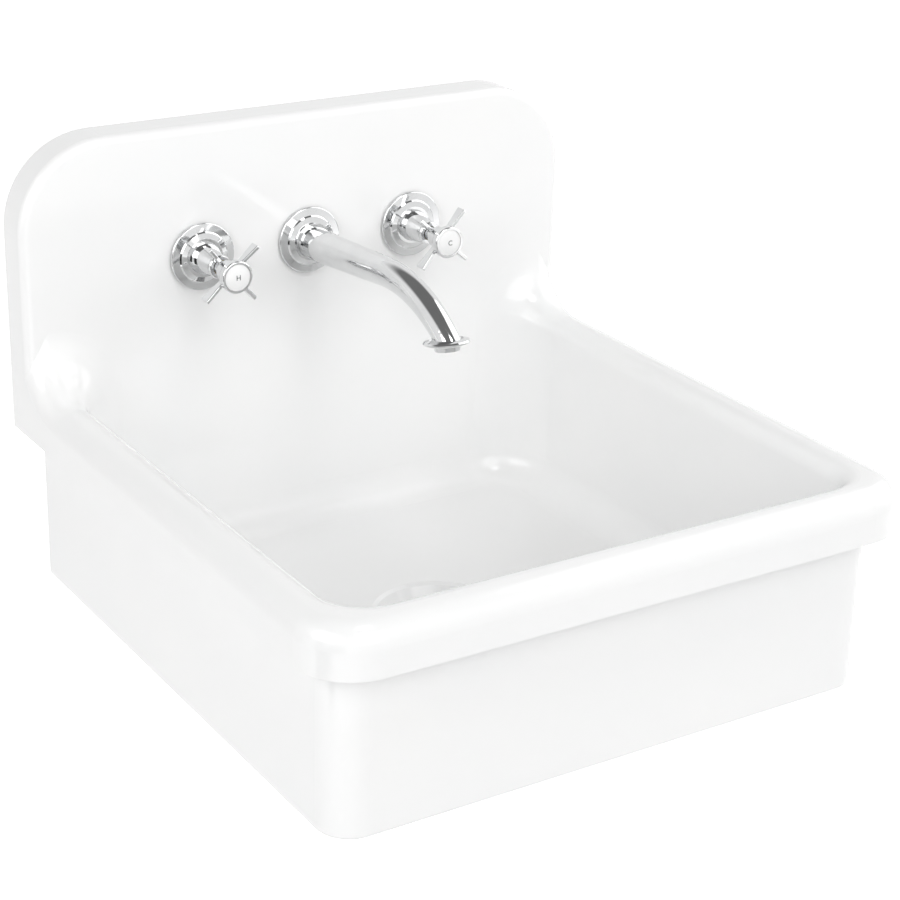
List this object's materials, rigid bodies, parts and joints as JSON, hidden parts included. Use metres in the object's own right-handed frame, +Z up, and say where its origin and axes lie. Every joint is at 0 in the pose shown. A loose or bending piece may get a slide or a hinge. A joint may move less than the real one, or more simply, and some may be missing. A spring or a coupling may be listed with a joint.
{
  "type": "laundry sink",
  "caption": "Wall-hung enamelled cast laundry sink: rolled rim, high rounded splash, cross-handle wall taps, fixed swept spout and a lift-out basket waste.",
  "frame": {"origin": "on the wall, in the middle of the hanger's four screw holes, 318 mm above the tub's underside", "axes": "+X across to the right seen from the front, +Y into the wall, +Z up; the wall is the plane Y = 0"},
  "size_m": [0.52, 0.532, 0.4815],
  "materials": {
    "enamel": "glossy white vitreous enamel",
    "chrome": "polished chrome plate",
    "brass": "machined brass",
    "copper": "drawn copper tube",
    "steel": "zinc-plated pressed steel",
    "stainless": "pressed stainless steel",
    "rubber": "matt black rubber",
    "fibre": "pressed fibre",
    "plastic": "moulded grey plastic",
    "ceramic": "lapped ceramic",
    "index": "glossy white, plain"
  },
  "bodies": {
    "sink": {"cold_bell": "chrome", "cold_body_gasket": "rubber", "cold_cartridge": "brass", "cold_fixed_disc": "ceramic", "cold_flange": "chrome", "cold_flange_seal": "rubber", "cold_link_tube": "copper", "cold_supply_nut": "brass", "cold_supply_tail": "copper", "cold_valve_body": "brass", "friction_ring": "fibre", "hot_bell": "chrome", "hot_body_gasket": "rubber", "hot_cartridge": "brass", "hot_fixed_disc": "ceramic", "hot_flange": "chrome", "hot_flange_seal": "rubber", "hot_link_tube": "copper", "hot_supply_nut": "brass", "hot_supply_tail": "copper", "hot_valve_body": "brass", "link_tube_nuts": "brass", "outlet_insert": "plastic", "sink_body": "enamel", "slip_nut": "chrome", "spout_body_gasket": "rubber", "spout_collar": "chrome", "spout_flange": "chrome", "spout_flange_seal": "rubber", "spout_nipple": "brass", "spout_outlet": "chrome", "spout_tee_body": "brass", "spout_tube": "chrome", "strainer_body": "chrome", "strainer_gasket": "rubber", "tailpiece": "chrome", "tailpiece_washer": "rubber", "wall_hanger": "steel", "waste_locknut": "brass", "waste_washer": "rubber"},
    "hot_handle": {"hot_handle": "chrome", "hot_handle_screw": "stainless", "hot_index_button": "index", "hot_spindle": "brass", "hot_spindle_o_rings": "rubber", "hot_moving_disc": "ceramic"},
    "cold_handle": {"cold_handle": "chrome", "cold_handle_screw": "stainless", "cold_index_button": "index", "cold_spindle": "brass", "cold_spindle_o_rings": "rubber", "cold_moving_disc": "ceramic"},
    "basket": {"strainer_basket": "stainless", "basket_stem": "chrome", "basket_stopper": "rubber"}
  },
  "joints": [
    {"name": "hot_turn", "type": "hinge", "parent": "sink", "child": "hot_handle", "pos_m": [-0.1016, -0.036, -0.047], "axis": [0, -1, 0], "range_deg": [0, 90]},
    {"name": "cold_turn", "type": "hinge", "parent": "sink", "child": "cold_handle", "pos_m": [0.1016, -0.036, -0.047], "axis": [0, 1, 0], "range_deg": [0, 90]},
    {"name": "basket_lift", "type": "slide", "parent": "sink", "child": "basket", "axis": [0, 0, 1], "range_m": [0, 0.014]}
  ]
}
